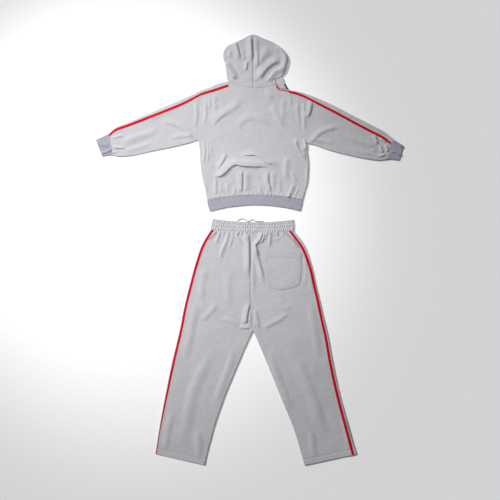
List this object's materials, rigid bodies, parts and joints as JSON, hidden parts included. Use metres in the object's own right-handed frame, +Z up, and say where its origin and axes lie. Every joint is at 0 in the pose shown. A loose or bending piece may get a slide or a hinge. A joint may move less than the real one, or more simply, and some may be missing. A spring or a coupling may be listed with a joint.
{
  "type": "hoodie and sweatpants set laid flat",
  "caption": "Hooded sweatshirt and matching sweatpants laid flat face down, with ribbed cuffs and hem, gathered waistband, back pocket and red side stripes.",
  "frame": {"origin": "on the surface that the set lies on, under the middle of the box round both garments", "axes": "+X to the wearer's right, as seen from above on the backs of the garments, +Y from the trouser hems towards the hood, +Z up from the surface"},
  "size_m": [1.3498, 1.8918, 0.014],
  "materials": {
    "fleece": "light grey heather sweatshirt knit, matt",
    "rib": "blue-grey heather rib knit, matt",
    "red_tape": "red stripe tape, slight sheen",
    "navy_tape": "navy stripe tape, slight sheen",
    "cord": "pale braided cord, matt"
  },
  "bodies": {
    "root": {"hoodie_back": "fleece", "hoodie_front": "fleece", "front_shoulder_right": "fleece", "sleeve_left": "fleece", "sleeve_right": "fleece", "hood_left": "fleece", "hood_right": "fleece", "pants_back_left": "fleece", "pants_back_right": "fleece", "pants_front_left": "fleece", "pants_front_right": "fleece", "waistband": "fleece", "back_pocket": "fleece", "cuff_left": "rib", "cuff_right": "rib", "hem_band": "rib", "stripe_shoulder_left": "red_tape", "stripe_shoulder_right": "red_tape", "stripe_sleeve_left": "red_tape", "stripe_sleeve_right": "red_tape", "stripe_leg_left": "red_tape", "stripe_leg_right": "red_tape", "stripe_front_right": "navy_tape", "drawstring": "cord"}
  },
  "joints": []
}
